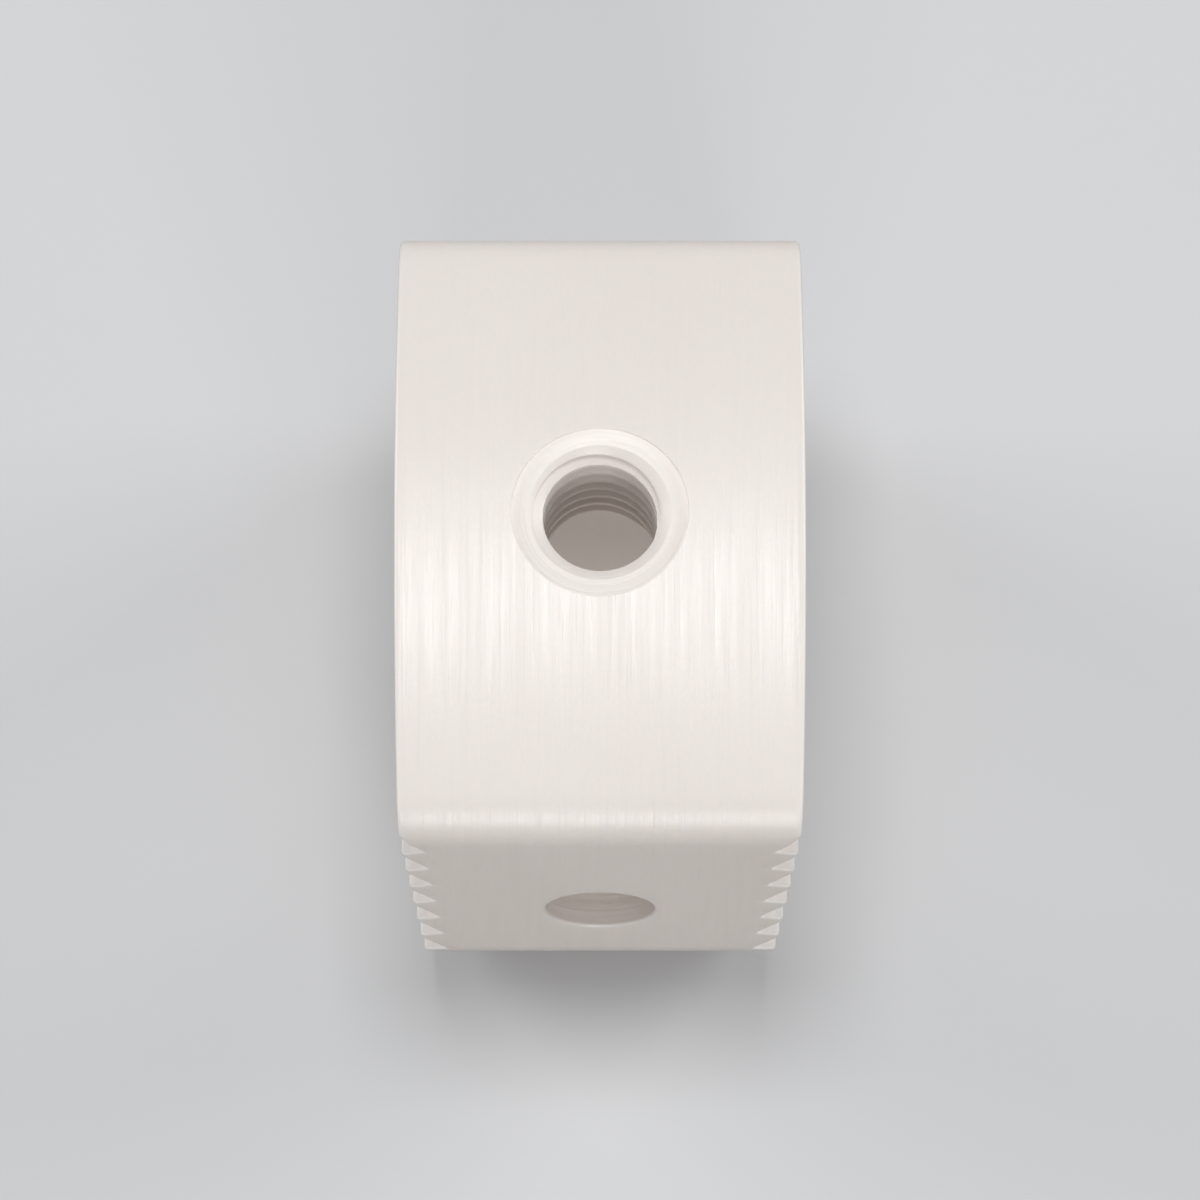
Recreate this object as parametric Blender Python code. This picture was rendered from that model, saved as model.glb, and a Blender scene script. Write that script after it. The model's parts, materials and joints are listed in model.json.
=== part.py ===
"""Cervical interbody fusion cage: a machined PEEK body with three pressed-in marker pins.

The cage stands on its back face, as it does in its storage pocket.
X runs from the lower vertebra's side to the upper one's, Y from left to right,
and Z from the back of the spine to the front. Sizes are in metres.
"""

import math

import bmesh
import bpy
from mathutils import Matrix, Vector

# Overall size
WIDTH = 0.0140
DEPTH = 0.0120
FRONT_HEIGHT = 0.0090
WEDGE_DEG = 7.0

# Footprint: flat back, round back corners, straight sides and a bowed front
FRONT_BOW_RADIUS = 0.0185
FRONT_CORNER_RADIUS = 0.0012
BACK_CORNER_RADIUS = 0.0028
BOW_STEPS = 20
CORNER_STEPS = 12

# Bone-graft window through the body, given by the walls left round it
FRONT_WALL = 0.0036
BACK_WALL = 0.0022
SIDE_WALL = 0.0032
WINDOW_CORNER_RADIUS = 0.0016

# Ridges on both bone faces, with a lead-in at the back and a plain band at the front
LEAD_IN_LENGTH = 0.0010
LEAD_IN_DROP = 0.0006
FRONT_BAND = 0.0018
RIDGE_PITCH = 0.00115
RIDGE_DEPTH = 0.00050
RIDGE_LAND = 0.00018
RIDGE_STEEP_RUN = 0.00014

# Tapped hole for the inserter rod, M3 with a 2.5 mm core, and its milled flat seat
TAP_CORE_RADIUS = 0.00125
TAP_MOUTH_RADIUS = 0.00155
SEAT_RADIUS = 0.00195
SEAT_DROP = 0.00013

# Round port in each side wall
SIDE_PORT_RADIUS = 0.0012

# Marker pins along X, in bores from bone face to bone face
PIN_RADIUS = 0.00040
PIN_CLEARANCE = 0.00002
PIN_END_RECESS = 0.00010
PIN_END_CHAMFER = 0.00006
FRONT_PIN_INSET = 0.00135

# How far a cutting tool runs past the face that it opens
OVERRUN = 0.0010

# Sides of a round hole and of a pin, and the angle above which an edge stays sharp
ROUND_STEPS = 64
PIN_STEPS = 32
SHARP_ANGLE_DEG = 30.0

# Sizes that follow from the ones above
SLOPE = math.tan(math.radians(WEDGE_DEG / 2))
WINDOW_HALF_WIDTH = WIDTH / 2 - SIDE_WALL
WINDOW_FRONT = DEPTH - FRONT_WALL
SEAT_LEVEL = DEPTH - SEAT_DROP
RIDGE_COUNT = max(1, round((DEPTH - LEAD_IN_LENGTH - FRONT_BAND) / RIDGE_PITCH))
FRONT_PIN_Y = (WIDTH / 2 + WINDOW_HALF_WIDTH) / 2
FRONT_PIN_Z = WINDOW_FRONT + FRONT_PIN_INSET
PIN_PLACES = {
    "marker_pin_left": (-FRONT_PIN_Y, FRONT_PIN_Z),
    "marker_pin_right": (FRONT_PIN_Y, FRONT_PIN_Z),
    "marker_pin_back": (0, BACK_WALL / 2),
}


def half_height(z):
    """Half the height between the crests of the two bone faces, at depth z."""
    return FRONT_HEIGHT / 2 - (DEPTH - z) * SLOPE


def arc(centre, radius, start, end, steps):
    """Points on an arc from one angle to another, both ends included."""
    angles = [start + (end - start) * step / steps for step in range(steps + 1)]
    return [(centre[0] + radius * math.cos(a), centre[1] + radius * math.sin(a)) for a in angles]


def footprint_outline():
    """Y and Z of the body's edge: the right half from back to front, then its mirror image."""
    side = WIDTH / 2
    back_centre = (side - BACK_CORNER_RADIUS, BACK_CORNER_RADIUS)
    bow_centre = (0, DEPTH - FRONT_BOW_RADIUS)
    reach = FRONT_BOW_RADIUS - FRONT_CORNER_RADIUS
    join = math.acos((side - FRONT_CORNER_RADIUS) / reach)
    corner_centre = (side - FRONT_CORNER_RADIUS, bow_centre[1] + reach * math.sin(join))
    right = arc(back_centre, BACK_CORNER_RADIUS, -math.pi / 2, 0, CORNER_STEPS)
    right += arc(corner_centre, FRONT_CORNER_RADIUS, 0, join, CORNER_STEPS)
    right += arc(bow_centre, FRONT_BOW_RADIUS, join, math.pi / 2, BOW_STEPS)[1:-1]
    return right + [(0, DEPTH)] + [(-y, z) for y, z in reversed(right)]


def window_outline():
    """Y and Z of the graft window's edge, a rectangle with round corners."""
    radius = WINDOW_CORNER_RADIUS
    y, low, high = WINDOW_HALF_WIDTH - radius, BACK_WALL + radius, WINDOW_FRONT - radius
    points = []
    for quarter, centre in enumerate([(y, low), (y, high), (-y, high), (-y, low)]):
        start = (quarter - 1) * math.pi / 2
        points += arc(centre, radius, start, start + math.pi / 2, CORNER_STEPS)
    return points


def ridge_outline():
    """X and Z of the bone faces: lead-in, ridges and front band up one side, and down the other."""
    lead_drop = half_height(LEAD_IN_LENGTH) - half_height(0) + LEAD_IN_DROP
    foot = half_height(LEAD_IN_LENGTH) - lead_drop * (1 + OVERRUN / LEAD_IN_LENGTH)
    upper = [(foot, -OVERRUN)]
    for ridge in range(RIDGE_COUNT):
        crest = LEAD_IN_LENGTH + ridge * RIDGE_PITCH
        land_end = crest + RIDGE_LAND
        valley = land_end + RIDGE_STEEP_RUN
        upper += [(half_height(crest), crest), (half_height(land_end), land_end)]
        upper += [(half_height(valley) - RIDGE_DEPTH, valley)]
    band = LEAD_IN_LENGTH + RIDGE_COUNT * RIDGE_PITCH
    upper += [(half_height(band), band), (half_height(DEPTH + OVERRUN), DEPTH + OVERRUN)]
    return upper + [(-x, z) for x, z in reversed(upper)]


def new_object(name, bm):
    """Put a bmesh into the scene as an object with its faces pointing out."""
    bmesh.ops.recalc_face_normals(bm, faces=bm.faces)
    mesh = bpy.data.meshes.new(name)
    bm.to_mesh(mesh)
    bm.free()
    piece = bpy.data.objects.new(name, mesh)
    bpy.context.scene.collection.objects.link(piece)
    return piece


def prism(name, corners, travel):
    """Solid that a flat outline sweeps along a straight line."""
    bm = bmesh.new()
    start = bm.faces.new([bm.verts.new(corner) for corner in corners])
    swept = bmesh.ops.extrude_face_region(bm, geom=[start])["geom"]
    end = [item for item in swept if isinstance(item, bmesh.types.BMVert)]
    bmesh.ops.translate(bm, verts=end, vec=travel)
    return new_object(name, bm)


def rod(name, start, end, radius, steps):
    """Closed cylinder between two points on its axis."""
    axis = Vector(end) - Vector(start)
    middle = (Vector(start) + Vector(end)) / 2
    place = Matrix.Translation(middle) @ axis.to_track_quat("Z", "Y").to_matrix().to_4x4()
    bm = bmesh.new()
    bmesh.ops.create_cone(
        bm, cap_ends=True, segments=steps, radius1=radius, radius2=radius,
        depth=axis.length, matrix=place,
    )
    return new_object(name, bm)


def turned(name, profile, steps):
    """Solid that a profile of radii and levels sweeps round the Z axis, with both ends closed."""
    bm = bmesh.new()
    points = [bm.verts.new((radius, 0, level)) for radius, level in profile]
    lines = [bm.edges.new(pair) for pair in zip(points, points[1:])]
    bmesh.ops.spin(
        bm, geom=points + lines, axis=(0, 0, 1), angle=2 * math.pi, steps=steps, use_merge=True
    )
    bmesh.ops.holes_fill(bm, edges=bm.edges)
    return new_object(name, bm)


def cut(body, tool, operation="DIFFERENCE"):
    """Cut the body with a tool, or keep only what lies inside it, and use the tool up."""
    boolean = body.modifiers.new(tool.name, "BOOLEAN")
    boolean.operation = operation
    boolean.solver = "EXACT"
    boolean.object = tool
    settle(body)
    bpy.data.objects.remove(tool)


def settle(piece):
    """Make a piece's modifiers part of its mesh."""
    bpy.context.view_layer.update()
    evaluated = piece.evaluated_get(bpy.context.evaluated_depsgraph_get())
    plain = bpy.data.meshes.new_from_object(evaluated)
    piece.modifiers.clear()
    piece.data = plain


def finish(piece, material):
    """Shade round faces smooth, keep real edges sharp, and give the piece its material."""
    piece.data.shade_smooth()
    piece.data.set_sharp_from_angle(angle=math.radians(SHARP_ANGLE_DEG))
    piece.data.materials.clear()
    piece.data.materials.append(material)


def make_material(name, colour, roughness, metallic):
    """Principled material of one even finish."""
    material = bpy.data.materials.new(name)
    material.use_nodes = True
    shader = material.node_tree.nodes["Principled BSDF"]
    shader.inputs["Base Color"].default_value = (*colour, 1.0)
    shader.inputs["Roughness"].default_value = roughness
    shader.inputs["Metallic"].default_value = metallic
    return material


def cut_window(body):
    """Open the graft window from bone face to bone face."""
    reach = FRONT_HEIGHT / 2 + OVERRUN
    corners = [(-reach, y, z) for y, z in window_outline()]
    cut(body, prism("window_tool", corners, (2 * reach, 0, 0)))


def cut_tapped_hole(body):
    """Cut the inserter hole with one stepped tool: its core into the window, its mouth and its flat seat."""
    mouth_foot = SEAT_LEVEL - (TAP_MOUTH_RADIUS - TAP_CORE_RADIUS)
    profile = [
        (TAP_CORE_RADIUS, WINDOW_FRONT - WINDOW_CORNER_RADIUS),
        (TAP_CORE_RADIUS, mouth_foot),
        (TAP_MOUTH_RADIUS, SEAT_LEVEL),
        (SEAT_RADIUS, SEAT_LEVEL),
        (SEAT_RADIUS, DEPTH + OVERRUN),
    ]
    cut(body, turned("tap_tool", profile, ROUND_STEPS))


def cut_side_ports(body):
    """Drill one straight round port through both side walls."""
    reach = WIDTH / 2 + OVERRUN
    middle = (BACK_WALL + WINDOW_FRONT) / 2
    left, right = (0, -reach, middle), (0, reach, middle)
    cut(body, rod("port_tool", left, right, SIDE_PORT_RADIUS, ROUND_STEPS))


def cut_pin_bores(body):
    """Drill the marker pins' bores from bone face to bone face."""
    reach = FRONT_HEIGHT / 2 + OVERRUN
    radius = PIN_RADIUS + PIN_CLEARANCE
    for name, (y, z) in PIN_PLACES.items():
        cut(body, rod(name + "_bore", (-reach, y, z), (reach, y, z), radius, PIN_STEPS))


def make_body():
    """Machine the cage: footprint, bone faces, window, inserter hole, side ports and pin bores."""
    reach = FRONT_HEIGHT / 2 + OVERRUN
    body = prism("cage_body", [(-reach, y, z) for y, z in footprint_outline()], (2 * reach, 0, 0))
    side = WIDTH / 2 + OVERRUN
    ridges = prism("ridge_tool", [(x, -side, z) for x, z in ridge_outline()], (0, 2 * side, 0))
    cut(body, ridges, "INTERSECT")
    cut_window(body)
    cut_tapped_hole(body)
    cut_side_ports(body)
    cut_pin_bores(body)
    finish(body, make_material("peek", (0.87, 0.82, 0.78), 0.45, 0.0))


def make_pins():
    """Turn each marker pin, long enough to end just below the ridges' valleys."""
    tantalum = make_material("tantalum", (0.38, 0.38, 0.40), 0.35, 1.0)
    for name, (y, z) in PIN_PLACES.items():
        end = half_height(z) - RIDGE_DEPTH - PIN_END_RECESS
        pin = rod(name, (-end, y, z), (end, y, z), PIN_RADIUS, PIN_STEPS)
        chamfer = pin.modifiers.new("end_chamfer", "BEVEL")
        chamfer.width = PIN_END_CHAMFER
        chamfer.segments = 1
        chamfer.limit_method = "ANGLE"
        settle(pin)
        finish(pin, tantalum)


def main():
    """Clear the scene and build the cage."""
    for leftover in list(bpy.data.objects):
        bpy.data.objects.remove(leftover)
    make_body()
    make_pins()


main()
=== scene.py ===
# %% [markdown]
# # A cervical interbody cage
#
# The cage is a small wedge of PEEK, a strong off-white plastic, that stands between two neck
# vertebrae until they have grown together. Ridges bite into the bone on both sides, bone graft
# fills the window, and a rod screwed into the front face holds the cage while it is pushed in. This
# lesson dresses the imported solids: every edge gets the tiny radius that deburring leaves, the hole
# gets its real thread, and each face gets the marks of its cutter. All lengths are in metres.

# %% Load the solids
import json
import math

import bmesh
import bpy
import numpy as np
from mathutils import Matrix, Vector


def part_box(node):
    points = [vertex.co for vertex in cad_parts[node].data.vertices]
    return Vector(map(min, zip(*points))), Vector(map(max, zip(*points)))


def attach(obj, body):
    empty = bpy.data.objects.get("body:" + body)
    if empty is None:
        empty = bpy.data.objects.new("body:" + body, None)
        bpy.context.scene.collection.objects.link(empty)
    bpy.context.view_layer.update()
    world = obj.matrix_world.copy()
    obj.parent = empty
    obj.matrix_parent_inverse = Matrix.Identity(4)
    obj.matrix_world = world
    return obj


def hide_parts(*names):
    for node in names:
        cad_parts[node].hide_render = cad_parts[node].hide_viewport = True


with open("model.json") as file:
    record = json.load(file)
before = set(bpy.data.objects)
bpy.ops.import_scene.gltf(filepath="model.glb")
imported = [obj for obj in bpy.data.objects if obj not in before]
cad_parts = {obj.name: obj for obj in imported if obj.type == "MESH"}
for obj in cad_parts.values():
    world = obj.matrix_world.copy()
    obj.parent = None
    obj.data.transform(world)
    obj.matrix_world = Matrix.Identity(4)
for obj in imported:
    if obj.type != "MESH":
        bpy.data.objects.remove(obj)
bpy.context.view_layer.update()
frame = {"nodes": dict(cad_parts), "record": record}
print("nodes:", sorted(frame["nodes"]))

# %% [markdown]
# ## Sizes
#
# X runs from the lower bone face to the upper one, Y across the cage, and Z from its back, which it
# stands on, to its front. The outer sizes are read from the solids. The sizes within are the cage's
# own: its round corners, its window and its ridges. The solids have sharp edges, so only the edge
# radii and the thread are new here.

# %% Read and name the sizes
MM = 0.001
box_low, box_high = (np.array(corner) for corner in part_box("cage_body"))
FRONT_HALF_HEIGHT, HALF_WIDTH, DEPTH = box_high
HALF_WEDGE_DEG = 3.5
SLOPE = math.tan(math.radians(HALF_WEDGE_DEG))

BOW_RADIUS = 18.5 * MM
FRONT_CORNER = 1.2 * MM
BACK_CORNER = 2.8 * MM

WINDOW_HALF_WIDTH = 3.8 * MM
WINDOW_BACK = 2.2 * MM
WINDOW_FRONT = 8.4 * MM
WINDOW_CORNER = 1.6 * MM

RIDGE_COUNT = 8
RIDGE_PITCH = 1.15 * MM
RIDGE_DEPTH = 0.5 * MM
RIDGE_LAND = 0.18 * MM
RIDGE_STEEP_RUN = 0.14 * MM
LEAD_IN_LENGTH = 1.0 * MM
LEAD_IN_DROP = 0.6 * MM

OUTER_EDGE = 0.09 * MM
WINDOW_EDGE = 0.05 * MM
CREST_EDGE = 0.03 * MM
VALLEY_RADIUS = 0.05 * MM

mounts = {mount["name"]: mount for mount in frame["record"]["mounts"]}
SEAT_LEVEL = mounts["inserter_seat"]["pos_m"][2]
print("cage, mm:", np.round((box_high - box_low) / MM, 2), "seat at", round(SEAT_LEVEL / MM, 2))

# %% [markdown]
# ## The ridges as a function
#
# A form cutter mills the ridges, so both bone faces have one profile: the height above the middle
# plane as a function of the level between back and front. It starts as a line through the corners
# of the lead-in, of each ridge and of the plain band at the front. Then each corner is rounded by
# its own small arc, as a worn-in cutter would leave it.

# %% Round the corners of a profile
def rounded(corners, steps):
    """Polyline through corners, each replaced by an arc that touches both of its sides.

    A corner is two coordinates and a radius. With half the turn called h, the arc starts radius
    times tan h before the corner. Its points are (1 - s)^2 start + 2 s (1 - s) w corner + s^2 end,
    with w = cos h, divided by the sum of the weights, which is a true circle.
    """
    corners = np.array(corners, dtype=float)
    place, radius = corners[1:-1, :2], corners[1:-1, 2]
    back, ahead = corners[:-2, :2] - place, corners[2:, :2] - place
    back /= np.linalg.norm(back, axis=1)[:, None]
    ahead /= np.linalg.norm(ahead, axis=1)[:, None]
    half_turn = (math.pi - np.arccos((back * ahead).sum(axis=1))) / 2
    reach = (radius * np.tan(half_turn))[:, None]
    start, end = place + back * reach, place + ahead * reach
    share = np.linspace(0, 1, steps + 1)[None, :, None]
    bend = 2 * share * (1 - share) * np.cos(half_turn)[:, None, None]
    weights = [(1 - share) ** 2, bend, share ** 2]
    points = [point[:, None] for point in (start, place, end)]
    arc = sum(weight * point for weight, point in zip(weights, points)) / sum(weights)
    return np.concatenate([corners[:1, :2], arc.reshape(-1, 2), corners[-1:, :2]])


# %% Work out the ridge profile
def crest_height(level):
    """Half the cage's height at a level, measured to the crests: a straight wedge."""
    return FRONT_HALF_HEIGHT - (DEPTH - level) * SLOPE


def ridge_corners():
    """Level, height and rounding of each corner of the profile, from the back to the front."""
    foot = crest_height(LEAD_IN_LENGTH) - LEAD_IN_DROP - LEAD_IN_LENGTH * SLOPE
    corners = [(0, foot, 0)]
    for ridge in range(RIDGE_COUNT):
        crest = LEAD_IN_LENGTH + ridge * RIDGE_PITCH
        land_end = crest + RIDGE_LAND
        valley = land_end + RIDGE_STEEP_RUN
        corners += [(crest, crest_height(crest), CREST_EDGE)]
        corners += [(land_end, crest_height(land_end), CREST_EDGE)]
        corners += [(valley, crest_height(valley) - RIDGE_DEPTH, VALLEY_RADIUS)]
    band = LEAD_IN_LENGTH + RIDGE_COUNT * RIDGE_PITCH
    return corners + [(band, crest_height(band), CREST_EDGE), (DEPTH, FRONT_HALF_HEIGHT, 0)]


profile = rounded(ridge_corners(), steps=6)
profile_length = np.concatenate([[0], np.cumsum(np.hypot(*np.diff(profile, axis=0).T))])
assert (np.diff(profile[:, 0]) > 0).all(), "a profile is read off by its levels, so they must rise"


def bone_face_height(level):
    """Height of the bone face above the middle plane at a level, read off the rounded profile."""
    return np.interp(level, profile[:, 0], profile[:, 1])


print("profile points:", len(profile), "length, mm:", round(profile_length[-1] / MM, 2))

# %% [markdown]
# ## The outlines as functions
#
# Seen from above a bone face, the cage and its window are outlines made of arcs and straight
# stretches. Beside each outline runs an edge line, one edge radius away from it on the bone face:
# there the rounding begins. Both are worked out at the same level of the edge line, so a row of
# points across the bone face meets its edges in one step.

# %% Work out an outline and its edge line
def outline_at(level, centre_y, centre_z, radius, line_radius):
    """Points on an edge line and on its outline, which share their centres.

    At a level, the direction out of the centre rises by (level - centre) / line radius. The edge
    line lies one line radius out along it, and the outline one radius out.
    """
    rise = np.clip((level - centre_z) / line_radius, -1, 1)
    run = np.sqrt(1 - rise ** 2)
    line = np.stack([centre_y + line_radius * run, level], axis=-1)
    wall = np.stack([centre_y + radius * run, centre_z + radius * rise], axis=-1)
    return line, wall


# %% Work out the outlines of the cage and its window
BOW_CENTRE = DEPTH - BOW_RADIUS
BOW_RISE_SHARE = math.sqrt(1 - ((HALF_WIDTH - FRONT_CORNER) / (BOW_RADIUS - FRONT_CORNER)) ** 2)
FRONT_CORNER_LEVEL = BOW_CENTRE + (BOW_RADIUS - FRONT_CORNER) * BOW_RISE_SHARE
BOW_START = FRONT_CORNER_LEVEL + (FRONT_CORNER - OUTER_EDGE) * BOW_RISE_SHARE


def footprint_at(level):
    """Edge line and outline of the cage's right half: back corner, side, front corner and bow."""
    stretch = [level < BACK_CORNER, level < FRONT_CORNER_LEVEL, level < BOW_START]
    corner_y = [HALF_WIDTH - BACK_CORNER, HALF_WIDTH - BACK_CORNER, HALF_WIDTH - FRONT_CORNER]
    centre_y = np.select(stretch, corner_y, 0)
    centre_z = np.select(stretch, [BACK_CORNER, level, FRONT_CORNER_LEVEL], BOW_CENTRE)
    radius = np.select(stretch, [BACK_CORNER, BACK_CORNER, FRONT_CORNER], BOW_RADIUS)
    return outline_at(level, centre_y, centre_z, radius, radius - OUTER_EDGE)


def window_at(level):
    """Edge line and outline of the window, right half: two round corners and a straight side."""
    centre_y = WINDOW_HALF_WIDTH - WINDOW_CORNER
    centre_z = np.clip(level, WINDOW_BACK + WINDOW_CORNER, WINDOW_FRONT - WINDOW_CORNER)
    return outline_at(level, centre_y, centre_z, WINDOW_CORNER, WINDOW_CORNER + WINDOW_EDGE)


# %% Choose the levels of the rows
def arc_levels(centre, radius, start_deg, end_deg, steps):
    """Levels of evenly spaced points on an arc, with angles measured up from the Y axis."""
    return centre + radius * np.sin(np.radians(np.linspace(start_deg, end_deg, steps + 1)))


bow_start_deg = math.degrees(math.asin(BOW_RISE_SHARE))
line_corner = WINDOW_CORNER + WINDOW_EDGE
arcs = np.concatenate([
    arc_levels(BACK_CORNER, BACK_CORNER - OUTER_EDGE, -90, 0, steps=20),
    arc_levels(WINDOW_BACK + WINDOW_CORNER, line_corner, -90, 0, steps=14),
    arc_levels(WINDOW_FRONT - WINDOW_CORNER, line_corner, 0, 90, steps=14),
    arc_levels(FRONT_CORNER_LEVEL, FRONT_CORNER - OUTER_EDGE, 0, bow_start_deg, steps=14),
    arc_levels(BOW_CENTRE, BOW_RADIUS - OUTER_EDGE, bow_start_deg, 90, steps=70),
])
FIRST, LAST = OUTER_EDGE, DEPTH - OUTER_EDGE
WINDOW_FIRST, WINDOW_LAST = WINDOW_BACK - WINDOW_EDGE, WINDOW_FRONT + WINDOW_EDGE
SLIVER = 0.004 * MM


def levels_between(start, end):
    """Levels of the rows between two joins: the ridges' and, where no sliver is left, the arcs'."""
    kept = np.concatenate([[start, end], profile[:, 0]])
    apart = np.abs(arcs[:, None] - kept[None, :]).min(axis=1) > SLIVER
    levels = np.concatenate([kept, arcs[apart]])
    return np.unique(levels[(levels >= start) & (levels <= end)])


back_levels = levels_between(FIRST, WINDOW_FIRST)
side_levels = levels_between(WINDOW_FIRST, WINDOW_LAST)
front_levels = levels_between(WINDOW_LAST, LAST)
print("rows behind the window:", len(back_levels), "beside:", len(side_levels),
      "before:", len(front_levels))

# %% [markdown]
# ## The body as a few grids
#
# The cage is the same left and right, and above and below, so a quarter of its skin is enough. It
# is made of grids of two kinds. A grid of bone face spreads from the middle, or from the window,
# out to the edge line. A skirt turns over the edge on a quarter circle and runs down the wall to
# the middle plane. Neighbouring grids share their border points, so the four mirrored quarters weld
# into one closed body. A box cut with Booleans would have no such radii, and a bevel on it would
# tear where the ridges end in short edges.
#
# Each point carries more than its place. Two lengths say how far it lies across the cutter's marks
# and along them, and a share says how much painted light it gets: a full painted highlight on an
# edge or crest, none in a valley, which is left as painted shade. A mirror in X turns the sign of
# the length across, and one in Y that of the length along, so no quarter repeats another's marks.

# %% Make a mesh from grids of points
WELD = 0.0002 * MM


def skin(name, grids):
    """Mesh of grids whose last axis is x, y, z, across, along and share of painted light.

    Every four neighbours in a grid make a face. Points that lie together are made one, which closes
    seams and poles, and the faces are turned outwards.
    """
    faces, count = [], 0
    for grid in grids:
        rows, columns, _ = grid.shape
        number = np.arange(rows * columns).reshape(rows, columns) + count
        around = [number[:-1, :-1], number[:-1, 1:], number[1:, 1:], number[1:, :-1]]
        faces.append(np.stack(around, axis=-1).reshape(-1, 4))
        count += rows * columns
    points = np.concatenate([grid.reshape(-1, grid.shape[-1]) for grid in grids])
    faces = np.concatenate(faces)
    corners = points[faces.ravel()]
    mesh = bpy.data.meshes.new(name)
    mesh.from_pydata(points[:, :3], [], faces.tolist())
    marks = mesh.uv_layers.new(name="cutter_marks")
    marks.uv.foreach_set("vector", corners[:, 3:5].astype(np.float32).ravel())
    # Painted light: a share per corner, 1 for a painted highlight on crests and edges, 0 for painted
    # shade in the valleys.
    painted_light_share = mesh.attributes.new("painted_light_share", "FLOAT", "CORNER")
    painted_light_share.data.foreach_set("value", corners[:, 5].astype(np.float32))
    bm = bmesh.new()
    bm.from_mesh(mesh)
    bmesh.ops.remove_doubles(bm, verts=bm.verts, dist=WELD)
    bmesh.ops.recalc_face_normals(bm, faces=bm.faces)
    open_edges = sum(not edge.is_manifold for edge in bm.edges)
    volume = round(bm.calc_volume() / MM ** 3, 2)
    print(name, "faces:", len(bm.faces), "open edges:", open_edges, "mm3:", volume)
    bm.to_mesh(mesh)
    bm.free()
    return mesh


def add_piece(name, mesh):
    """Object at the origin that shows a mesh."""
    piece = bpy.data.objects.new(name, mesh)
    bpy.context.scene.collection.objects.link(piece)
    return piece


# %% Spread a bone face and hang a skirt
TURN = np.radians(np.linspace(0, 90, 6))
FALL = np.linspace(1, 0, 11)[1:]


def bone_face(level, start_y, end_y, shares):
    """Grid of bone face: rows at the levels, points from start to end at the given shares of the way.

    The form cutter runs along Y, so its marks do too. The share of painted light is the height above
    the valleys: a painted highlight on the crests, painted shade left in the valleys.
    """
    y = start_y[:, None] + (end_y - start_y)[:, None] * shares[None, :]
    z = np.broadcast_to(level[:, None], y.shape)
    height = bone_face_height(z)
    across = np.interp(z, profile[:, 0], profile_length)
    # Painted light: paler towards the crests and darker towards the valleys, a painted highlight and
    # painted shade.
    painted_light_share = np.clip(1 - (crest_height(z) - height) / RIDGE_DEPTH, 0, 1)
    return np.stack([height, y, z, across, y, painted_light_share], axis=-1)


def skirt(line, wall, radius, along):
    """Grid over an edge and down a wall: a quarter circle from edge line to wall, then straight down.

    On the turn, x is height - radius (1 - cos t), and the place moves from line to wall by sin t.
    Below it, x falls to zero in even steps. The wall is milled round the cage, so its marks run
    along the outline. A painted highlight lies on the edge, strongest in the middle of the turn, by sin
    2 t.
    """
    height = bone_face_height(line[:, 1])[:, None]
    turn = np.broadcast_to(TURN[None, :], (len(line), len(TURN)))
    down = (height - radius) * FALL
    x = np.concatenate([height - radius * (1 - np.cos(turn)), down], axis=1)
    across = np.concatenate([height - radius + radius * (math.pi / 2 - turn), down], axis=1)
    share = np.concatenate([np.sin(turn), np.ones_like(down)], axis=1)
    # Painted highlight on the edge, strongest half way round the turn; the wall below gets none.
    painted_light_share = np.concatenate([np.sin(2 * turn), np.zeros_like(down)], axis=1)
    place = line[:, None] + (wall - line)[:, None] * share[..., None]
    along = np.broadcast_to(along[:, None], x.shape)
    return np.stack([x, place[..., 0], place[..., 1], across, along, painted_light_share], axis=-1)


# %% Put a quarter of the skin together
EVEN = np.linspace(0, 1, 15)


def strip(*stretches):
    """One run of edge line and wall points from several stretches, with the length along the wall."""
    line, wall = (np.concatenate(part) for part in zip(*stretches))
    return line, wall, np.concatenate([[0], np.cumsum(np.hypot(*np.diff(wall, axis=0).T))])


def straight(y, line_level, wall_level):
    """Edge line and wall points of a stretch that runs along Y."""
    return tuple(np.stack([y, np.full_like(y, level)], axis=-1) for level in (line_level, wall_level))


def quarter_skin():
    """The grids of the quarter of the skin that has positive X and Y."""
    level_sets = (back_levels, side_levels, front_levels)
    back_y, side_y, front_y = (footprint_at(levels)[0][:, 0] for levels in level_sets)
    corner_y = WINDOW_HALF_WIDTH - WINDOW_CORNER
    back_shares, front_shares = (np.concatenate([split * EVEN, split + (1 - split) * EVEN[1:]])
                                 for split in (corner_y / back_y[-1], corner_y / front_y[0]))
    window_line, window_wall = window_at(side_levels)
    window = strip(straight(corner_y * EVEN[:-1], WINDOW_FIRST, WINDOW_BACK),
                   (window_line, window_wall),
                   straight(corner_y * EVEN[-2::-1], WINDOW_LAST, WINDOW_FRONT))
    all_levels = np.unique(np.concatenate(level_sets))
    outside = strip(straight(back_y[0] * back_shares[:-1], FIRST, 0), footprint_at(all_levels))
    return [
        bone_face(back_levels, np.zeros_like(back_levels), back_y, back_shares),
        bone_face(side_levels, window_line[:, 0], side_y, EVEN),
        bone_face(front_levels, np.zeros_like(front_levels), front_y, front_shares),
        skirt(window[0], window[1], WINDOW_EDGE, window[2]),
        skirt(outside[0], outside[1], OUTER_EDGE, outside[2][-1] - outside[2]),
    ]


# %% Mirror the quarter and weld the body
mirrors = [np.array([x, y, 1, x, y, 1]) for x in (1, -1) for y in (1, -1)]
quarter = quarter_skin()
quarters = [grid * mirror for mirror in mirrors for grid in quarter]
body = add_piece("machined_body", skin("machined_body", quarters))

# %% [markdown]
# ## The drills and the tap
#
# The holes are cut as in the workshop, with a tool for each. Every tool is a turned solid: a
# profile of radius against distance, carried round an axis. The inserter's rod needs an M3 thread,
# so one tool is a tap, whose radius also changes with the angle: flat crest, flanks at 60 degrees
# to each other, flat root.

# %% Turn a profile round an axis
AROUND = 96


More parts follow.
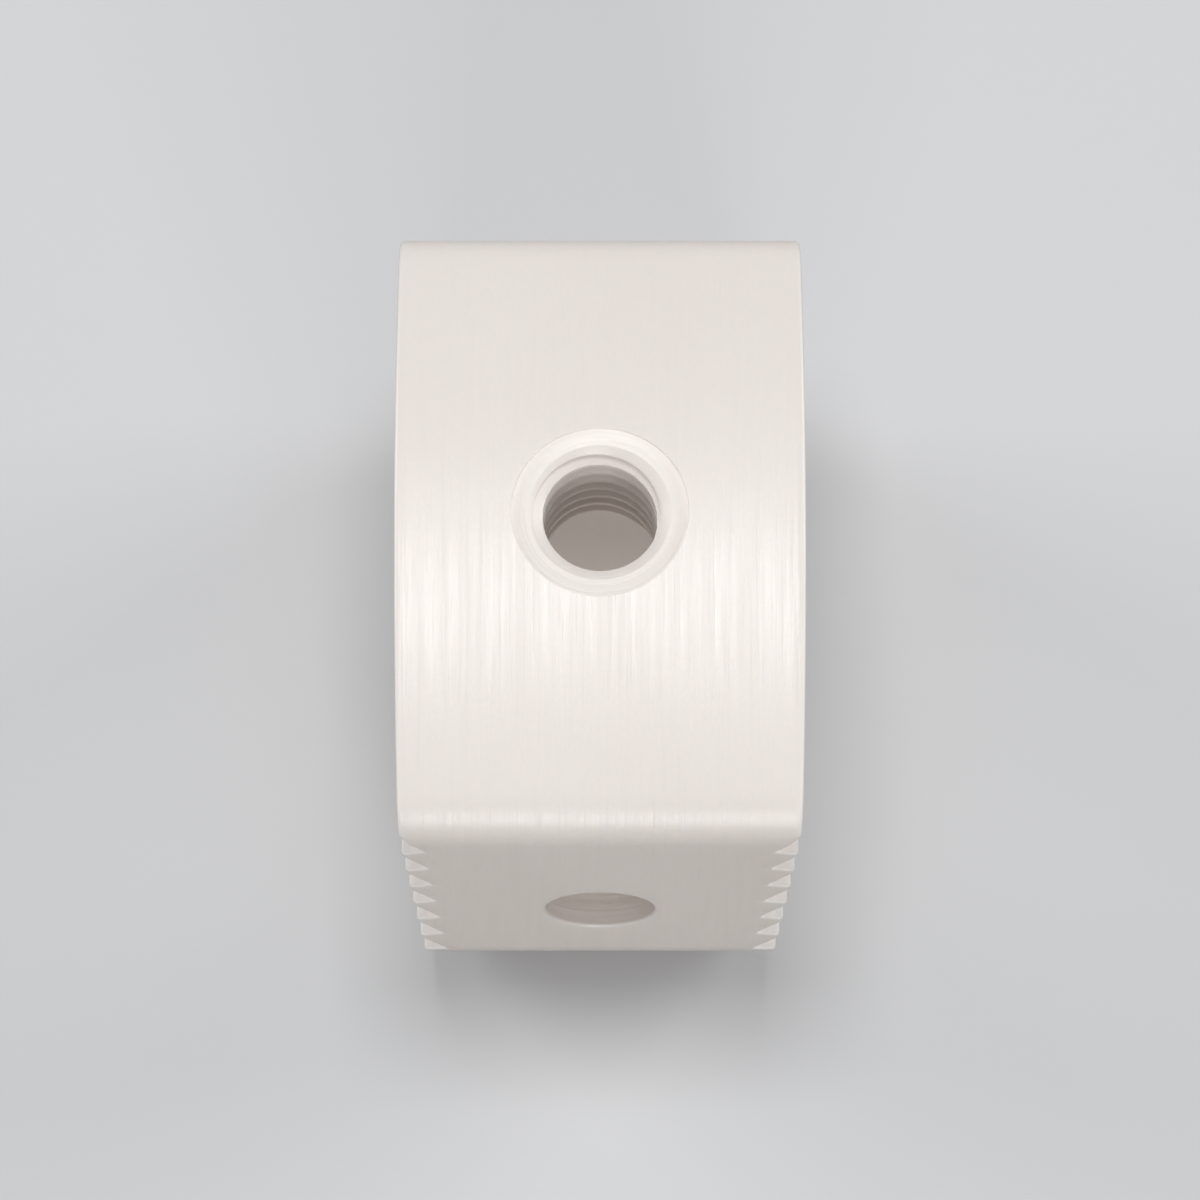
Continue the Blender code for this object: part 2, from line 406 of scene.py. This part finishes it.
def turned(name, distance, radius, place, axis):
    """Closed solid of revolution about an axis through a place; 0, 1 or 2 stands for X, Y or Z.

    A point lies at its distance along the axis and at its radius from it, in the direction of its
    angle. The radius is given for each distance, or for each distance and angle. A pole closes either
    end. The marks run round the axis, so the length across them is that of the profile.
    """
    angle = np.linspace(0, 2 * np.pi, AROUND + 1)
    radius = np.array(radius, dtype=float).reshape(len(distance), -1)
    radius = np.broadcast_to(radius, (len(distance), len(angle)))
    radius = np.pad(radius, ((1, 1), (0, 0)))
    distance = np.pad(np.array(distance, dtype=float), 1, mode="edge")
    step = np.hypot(np.diff(distance), np.diff(radius[:, 0]))
    across = np.broadcast_to(np.concatenate([[0], np.cumsum(step)])[:, None], radius.shape)
    along = np.broadcast_to(angle * radius.max(), radius.shape)
    forward = np.broadcast_to(distance[:, None], radius.shape)
    local = np.stack([forward, radius * np.cos(angle), radius * np.sin(angle)], axis=-1)
    points = np.roll(local, axis, axis=-1) + np.array(place)
    extra = np.stack([across, along, np.zeros_like(along)], axis=-1)
    return skin(name, [np.concatenate([points, extra], axis=-1)])


# %% Make the tap
PAST = 1.0 * MM
THREAD_PITCH = 0.5 * MM
THREAD_MAJOR = 1.5 * MM
THREAD_CORE = 1.25 * MM
THREAD_FLANK_DEG = 30
HALF_CREST_SHARE = 1 / 16
ROWS_PER_PITCH = 24


def make_tap():
    """The tap, from inside the window to above the seat.

    The distance from the middle of the crest, as a share of the pitch, is up to 1/16 on the crest.
    From there the radius falls over the flank, (major - core) tan 30 degrees long, and stays at the
    core.
    """
    level = np.arange(WINDOW_FRONT - WINDOW_CORNER, DEPTH + PAST, THREAD_PITCH / ROWS_PER_PITCH)
    turns = level[:, None] / THREAD_PITCH - np.linspace(0, 1, AROUND + 1)[None, :]
    share = np.abs(turns - np.round(turns))
    depth = THREAD_MAJOR - THREAD_CORE
    flank_share = depth * math.tan(math.radians(THREAD_FLANK_DEG)) / THREAD_PITCH
    radius = THREAD_MAJOR - depth * np.clip((share - HALF_CREST_SHARE) / flank_share, 0, 1)
    return turned("tap", level, radius, (0, 0, 0), axis=2)


# %% Make the seat cutter
MOUTH_RADIUS = 1.55 * MM
MOUTH_EDGE = 0.06 * MM
SEAT_RADIUS = 1.95 * MM
SEAT_EDGE = 0.03 * MM


def make_seat_cutter():
    """Countersink and end mill in one: a 90 degree cone up to the mouth, then the flat seat."""
    tip = THREAD_CORE / 2
    corners = [(SEAT_LEVEL - MOUTH_RADIUS + tip, tip, 0), (SEAT_LEVEL, MOUTH_RADIUS, MOUTH_EDGE),
               (SEAT_LEVEL, SEAT_RADIUS, SEAT_EDGE), (DEPTH + PAST, SEAT_RADIUS, 0)]
    return turned("seat_cutter", *rounded(corners, steps=5).T, (0, 0, 0), axis=2)


# %% Make the port drill
PORT_RADIUS = 1.2 * MM
PORT_EDGE = 0.08 * MM
PORT_LEVEL = (WINDOW_BACK + WINDOW_FRONT) / 2


def make_port_drill():
    """Drill for both side ports, flared by a quarter circle to either face of a wall."""
    flare = PORT_RADIUS + PORT_EDGE * (1 - np.sin(TURN))
    inset = PORT_EDGE * (1 - np.cos(TURN))
    through = [WINDOW_HALF_WIDTH + inset, (HALF_WIDTH - inset)[::-1], [HALF_WIDTH + PAST]]
    distance = np.concatenate(through)
    radius = np.concatenate([flare, flare[::-1], flare[:1]])
    return turned("port_drill", np.concatenate([-distance[::-1], distance]),
                  np.concatenate([radius[::-1], radius]), (0, 0, PORT_LEVEL), axis=1)


# %% Make the drills for the pins
BORE_CLEARANCE = 0.02 * MM
PIN_NAMES = ["marker_pin_left", "marker_pin_right", "marker_pin_back"]


def pin_size(name):
    """Centre, half length and radius of a marker pin, from its solid."""
    low, high = (np.array(corner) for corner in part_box(name))
    return (low + high) / 2, (high[0] - low[0]) / 2, (high[1] - low[1]) / 2


def make_bore_drill(name):
    """Drill for a marker pin's bore, through both bone faces."""
    centre, _, radius = pin_size(name)
    reach = FRONT_HALF_HEIGHT + PAST
    return turned(name + "_drill", [-reach, reach], [radius + BORE_CLEARANCE] * 2, centre, axis=0)


# %% Cut the holes
def cut(piece, tool_mesh):
    """Take a tool's solid away from a piece."""
    tool = add_piece(tool_mesh.name, tool_mesh)
    step = piece.modifiers.new(tool.name, "BOOLEAN")
    step.operation = "DIFFERENCE"
    step.solver = "EXACT"
    step.object = tool
    bpy.context.view_layer.update()
    result = piece.evaluated_get(bpy.context.evaluated_depsgraph_get())
    mesh = bpy.data.meshes.new_from_object(result)
    piece.modifiers.clear()
    uncut, piece.data = piece.data, mesh
    bpy.data.objects.remove(tool)
    bpy.data.meshes.remove(uncut)
    bpy.data.meshes.remove(tool_mesh)


tools = [make_tap(), make_seat_cutter(), make_port_drill()]
tools += [make_bore_drill(name) for name in PIN_NAMES]
for tool_mesh in tools:
    cut(body, tool_mesh)
body.data.calc_loop_triangles()
print("body triangles:", len(body.data.loop_triangles))

# %% Shade the body and put it in its place
SHARP_ANGLE = math.radians(32)


def settle(piece, node):
    """Shade smooth between sharp edges, led by the large faces, and let the piece stand for a node."""
    piece.data.shade_smooth()
    piece.data.set_sharp_from_angle(angle=SHARP_ANGLE)
    steady = piece.modifiers.new("steady_normals", "WEIGHTED_NORMAL")
    steady.keep_sharp = True
    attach(piece, "root")
    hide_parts(node)
    print(piece.name, "stands for", node)


settle(body, "cage_body")

# %% [markdown]
# ## The marker pins
#
# PEEK doesn't show on an X-ray, so three tantalum pins mark where the cage is. Each is parted off a
# thin rod on a small lathe, its rim is rounded, and it is pressed in until both ends lie below the
# ridges.

# %% Turn the pins
PIN_RIM = 0.06 * MM


def turn_pin(name):
    """Pin as a turned profile: a quarter circle at either rim, and the shaft between them."""
    centre, half_length, radius = pin_size(name)
    corners = [(-half_length, 0, 0), (-half_length, radius, PIN_RIM),
               (half_length, radius, PIN_RIM), (half_length, 0, 0)]
    return turned("turned_" + name, *rounded(corners, steps=6)[1:-1].T, centre, axis=0)


pins = [add_piece("turned_" + name, turn_pin(name)) for name in PIN_NAMES]
for pin, name in zip(pins, PIN_NAMES):
    settle(pin, name)

# %% [markdown]
# ## Colours and nodes
#
# Colours are written as sRGB hex values, as a paint card gives them, and turned to the linear
# values that a shader needs. One helper adds a node with its settings and its links. A Mix node has
# a set of sockets for each kind of value, so those for colours are named by number. A Wave texture
# repeats after 0.314 units at scale 1.

# %% Colour and node helpers
def colour(hex_value):
    """Linear RGBA of an sRGB hex colour: ((c + 0.055) / 1.055) ^ 2.4, or c / 12.92 near black."""
    channels = np.array([int(hex_value[i:i + 2], 16) / 255 for i in (1, 3, 5)])
    linear = np.where(channels > 0.04045, ((channels + 0.055) / 1.055) ** 2.4, channels / 12.92)
    return (*linear, 1.0)


def add_node(tree, kind, settings=None, inputs=None):
    """New node: settings are its attributes; an input gets a value, or a link from a socket."""
    node = tree.nodes.new(kind)
    for key, value in (settings or {}).items():
        setattr(node, key, value)
    for key, value in (inputs or {}).items():
        if isinstance(value, bpy.types.NodeSocket):
            tree.links.new(value, node.inputs[key])
        else:
            node.inputs[key].default_value = value
    return node


def new_material(name):
    """Principled material, its tree and its shader."""
    material = bpy.data.materials.new(name)
    material.use_nodes = True
    return material, material.node_tree, material.node_tree.nodes["Principled BSDF"]


def scale_for(length):
    """Scale at which one cell of a noise has this length."""
    return 1 / length


COLOUR_A, COLOUR_B, COLOUR_OUT = 6, 7, 2
WAVE_PERIOD = 0.314

# %% [markdown]
# ## Milled PEEK
#
# This PEEK is off-white and dense: its refractive index is 1.65, and light goes in by a few tenths
# of a millimetre only. Milling leaves it satin. Nicks in the cutter draw fine lines along its path,
# and each pass of the cutter leaves a faint step beside the last one. The real lines are a few
# hundredths of a millimetre apart, too fine to see, so they are drawn 0.15 mm apart. Edges and
# crests are painted paler, a painted highlight, and the valleys stay darker, a painted shade.

# %% Draw the marks of milling
NICK_WIDTH = 0.15 * MM
NICK_LENGTH = 6.0 * MM
PASS_WIDTH = 0.5 * MM
GRAIN_SIZE = 0.12 * MM
RELIEF_DEPTH = 0.018 * MM
PASS_SHARE = 0.25
GRAIN_SHARE = 0.2

peek, tree, shader = new_material("natural_peek_milled")
marks = add_node(tree, "ShaderNodeUVMap", {"uv_map": "cutter_marks"}).outputs["UV"]
place = add_node(tree, "ShaderNodeTexCoord").outputs["Object"]
drawn = add_node(tree, "ShaderNodeMapping", None,
                 {"Vector": marks, "Scale": (scale_for(NICK_WIDTH), scale_for(NICK_LENGTH), 1)})
nicks = add_node(tree, "ShaderNodeTexNoise", None,
                 {"Vector": drawn.outputs["Vector"], "Scale": 1.0, "Detail": 3.0, "Roughness": 0.6})
passes = add_node(tree, "ShaderNodeTexWave", {"bands_direction": "X"},
                  {"Vector": marks, "Scale": WAVE_PERIOD * scale_for(PASS_WIDTH),
                   "Distortion": 0.8, "Detail": 2.0})
grain = add_node(tree, "ShaderNodeTexNoise", None,
                 {"Vector": place, "Scale": scale_for(GRAIN_SIZE), "Detail": 2.0, "Roughness": 0.5})
lines = add_node(tree, "ShaderNodeMath", {"operation": "MULTIPLY_ADD"},
                 {0: passes.outputs["Fac"], 1: PASS_SHARE, 2: nicks.outputs["Fac"]})
relief = add_node(tree, "ShaderNodeMath", {"operation": "MULTIPLY_ADD"},
                  {0: grain.outputs["Fac"], 1: GRAIN_SHARE, 2: lines.outputs["Value"]})
bump = add_node(tree, "ShaderNodeBump", None,
                {"Strength": 1.0, "Distance": RELIEF_DEPTH, "Height": relief.outputs["Value"]})

# %% Colour the PEEK
CLOUD_SIZE = 5.0 * MM
LIGHT_DEPTH = 0.3 * MM
PAINTED_HIGHLIGHT_SHARE = 0.6

# Painted light: crests and edges are mixed towards a paler colour, a painted highlight, and the valleys
# keep the darker tone, a painted shade.
painted_light_share = add_node(tree, "ShaderNodeAttribute", {"attribute_name": "painted_light_share"}).outputs["Fac"]
clouds = add_node(tree, "ShaderNodeTexNoise", None,
                  {"Vector": place, "Scale": scale_for(CLOUD_SIZE), "Detail": 3.0})
tone = add_node(tree, "ShaderNodeMix", {"data_type": "RGBA"},
                {0: clouds.outputs["Fac"], COLOUR_A: colour("#ECE4DE"), COLOUR_B: colour("#F4EEE9")})
paler = add_node(tree, "ShaderNodeMath", {"operation": "MULTIPLY"}, {0: painted_light_share, 1: PAINTED_HIGHLIGHT_SHARE})
skin_tone = add_node(tree, "ShaderNodeMix", {"data_type": "RGBA"},
                     {0: paler.outputs["Value"], COLOUR_A: tone.outputs[COLOUR_OUT],
                      COLOUR_B: colour("#F8F5F3")})
satin = add_node(tree, "ShaderNodeMapRange", None,
                 {"Value": nicks.outputs["Fac"], "From Min": 0.3, "From Max": 0.7,
                  "To Min": 0.32, "To Max": 0.44})
tree.links.new(skin_tone.outputs[COLOUR_OUT], shader.inputs["Base Color"])
tree.links.new(satin.outputs["Result"], shader.inputs["Roughness"])
tree.links.new(bump.outputs["Normal"], shader.inputs["Normal"])
shader.inputs["IOR"].default_value = 1.65
shader.inputs["Subsurface Weight"].default_value = 0.2
shader.inputs["Subsurface Radius"].default_value = (1.0, 0.85, 0.7)
shader.inputs["Subsurface Scale"].default_value = LIGHT_DEPTH
body.data.materials.clear()
body.data.materials.append(peek)
print("PEEK nodes:", len(tree.nodes))

# %% [markdown]
# ## Turned tantalum
#
# Tantalum is a heavy metal, a little bluer and darker than steel. The parting tool leaves fine
# rings on the ends of the pins, which the marks already follow. The ends stay dull, because nobody
# polishes them.

# %% Make the tantalum
RING_WIDTH = 0.03 * MM
RING_LENGTH = 1.5 * MM
RING_DEPTH = 0.004 * MM

tantalum, tree, shader = new_material("tantalum_turned")
marks = add_node(tree, "ShaderNodeUVMap", {"uv_map": "cutter_marks"}).outputs["UV"]
drawn = add_node(tree, "ShaderNodeMapping", None,
                 {"Vector": marks, "Scale": (scale_for(RING_WIDTH), scale_for(RING_LENGTH), 1)})
rings = add_node(tree, "ShaderNodeTexNoise", None,
                 {"Vector": drawn.outputs["Vector"], "Scale": 1.0, "Detail": 3.0, "Roughness": 0.6})
bump = add_node(tree, "ShaderNodeBump", None,
                {"Strength": 1.0, "Distance": RING_DEPTH, "Height": rings.outputs["Fac"]})
tone = add_node(tree, "ShaderNodeMix", {"data_type": "RGBA"},
                {0: rings.outputs["Fac"], COLOUR_A: colour("#7F8187"), COLOUR_B: colour("#9C9DA2")})
satin = add_node(tree, "ShaderNodeMapRange", None,
                 {"Value": rings.outputs["Fac"], "To Min": 0.3, "To Max": 0.5})
tree.links.new(tone.outputs[COLOUR_OUT], shader.inputs["Base Color"])
tree.links.new(satin.outputs["Result"], shader.inputs["Roughness"])
tree.links.new(bump.outputs["Normal"], shader.inputs["Normal"])
shader.inputs["Metallic"].default_value = 1.0
for pin in pins:
    pin.data.materials.append(tantalum)
print("tantalum nodes:", len(tree.nodes), "pins:", len(pins))

# %% [markdown]
# ## The table and the room
#
# A pale paper table keeps the shadow. Seen directly it is pale, and it fades into the pale room
# around it, so that no horizon cuts through the side views. For the light that it throws back it is
# a middle grey, because a white sheet this close would light the window and the hole from below and
# take away their depth.

# %% Lay the table
PAGE = colour("#DADBDD")
REACH = 1.0
FADE_START = 0.02
FADE_END = 0.09

table = add_piece("table", bpy.data.meshes.new("table"))
table_corners = [(-REACH, -REACH, 0), (REACH, -REACH, 0), (REACH, REACH, 0), (-REACH, REACH, 0)]
table.data.from_pydata(table_corners, [], [(0, 1, 2, 3)])
paper, tree, shader = new_material("matt_paper")
rays = add_node(tree, "ShaderNodeLightPath").outputs
place = add_node(tree, "ShaderNodeTexCoord").outputs["Object"]
far = add_node(tree, "ShaderNodeVectorMath", {"operation": "LENGTH"}, {0: place})
fade = add_node(tree, "ShaderNodeMapRange", {"interpolation_type": "SMOOTHSTEP"},
                {"Value": far.outputs["Value"], "From Min": FADE_START, "From Max": FADE_END})
shown = add_node(tree, "ShaderNodeMath", {"operation": "MULTIPLY"},
                 {0: fade.outputs["Result"], 1: rays["Is Camera Ray"]})
tone = add_node(tree, "ShaderNodeMix", {"data_type": "RGBA"},
                {0: rays["Is Camera Ray"], COLOUR_A: colour("#959290"), COLOUR_B: PAGE})
tree.links.new(tone.outputs[COLOUR_OUT], shader.inputs["Base Color"])
shader.inputs["Roughness"].default_value = 0.9
distant = add_node(tree, "ShaderNodeEmission", None, {"Color": PAGE, "Strength": 1.0})
blend = add_node(tree, "ShaderNodeMixShader", None,
                 {0: shown.outputs["Value"], 1: shader.outputs["BSDF"],
                  2: distant.outputs["Emission"]})
tree.links.new(blend.outputs["Shader"], tree.nodes["Material Output"].inputs["Surface"])
table.data.materials.append(paper)
print("the table fades into the room from", FADE_START, "to", FADE_END, "m")

# %% Set the room
ROOM_LIGHT = 0.28

room = bpy.data.worlds.new("pale_room")
bpy.context.scene.world = room
room.use_nodes = True
tree = room.node_tree
rays = add_node(tree, "ShaderNodeLightPath").outputs
mirrored = add_node(tree, "ShaderNodeMath", {"operation": "MAXIMUM"},
                    {0: rays["Is Glossy Ray"], 1: rays["Is Transmission Ray"]})
direct = add_node(tree, "ShaderNodeMath", {"operation": "MAXIMUM"},
                  {0: rays["Is Camera Ray"], 1: mirrored.outputs["Value"]})
lit = tree.nodes["Background"]
lit.inputs["Color"].default_value = colour("#FFFFFF")
lit.inputs["Strength"].default_value = ROOM_LIGHT
pale = add_node(tree, "ShaderNodeBackground", None, {"Color": PAGE, "Strength": 1.0})
blend = add_node(tree, "ShaderNodeMixShader", None,
                 {0: direct.outputs["Value"], 1: lit.outputs["Background"],
                  2: pale.outputs["Background"]})
tree.links.new(blend.outputs["Shader"], tree.nodes["World Output"].inputs["Surface"])
print("the room lights the cage with", ROOM_LIGHT, "of white")

# %% [markdown]
# ## Light and camera
#
# A soft box hangs nearly overhead, where it lays a band of gloss across the bowed face, just below
# the hole, as in the photograph. Wider ones at three sides light the walls. The camera looks down
# on the front face from 71 degrees above the table: from there the face, 14 by 9 mm and bowed, is
# seen about 1.48 times as long as it is wide, as in the photograph. It stands far away behind a
# long lens, because the cage is tiny, so the lines hardly converge.

# %% Hang the lamps
def aim(azimuth, elevation, distance):
    """Place at a distance from the middle of the cage, and the rotation that looks back at it.

    Azimuth 0 is the side of -Y, where the camera stands, and it turns towards X.
    """
    turn, rise = math.radians(azimuth), math.radians(elevation)
    level = math.cos(rise)
    direction = np.array([level * math.sin(turn), -level * math.cos(turn), math.sin(rise)])
    return (box_low + box_high) / 2 + direction * distance, (math.pi / 2 - rise, 0, turn)


def soft_box(name, azimuth, elevation, distance, size, power):
    """Square lamp that faces the cage, with its power in watts."""
    lamp = bpy.data.lights.new(name, "AREA")
    lamp.shape = "SQUARE"
    lamp.size = size
    lamp.energy = power
    box = bpy.data.objects.new(name, lamp)
    box.location, box.rotation_euler = aim(azimuth, elevation, distance)
    bpy.context.scene.collection.objects.link(box)
    print(name, "lamp:", power, "W")


soft_box("key", azimuth=-170, elevation=84, distance=0.20, size=0.06, power=0.13)
soft_box("front", azimuth=5, elevation=20, distance=0.22, size=0.10, power=0.16)
soft_box("right", azimuth=114, elevation=22, distance=0.22, size=0.12, power=0.155)
soft_box("left", azimuth=-114, elevation=22, distance=0.22, size=0.12, power=0.15)

# %% Set the camera
LENS_MM = 460
NEAREST = 0.01

camera = bpy.data.objects.new("camera", bpy.data.cameras.new("camera"))
camera.data.lens = LENS_MM
camera.data.clip_start = NEAREST
camera.location, camera.rotation_euler = aim(azimuth=0, elevation=71, distance=0.34)
bpy.context.scene.collection.objects.link(camera)
bpy.context.scene.camera = camera
bpy.context.scene.view_settings.view_transform = "Standard"
print("camera at, m:", [round(value, 3) for value in camera.location])
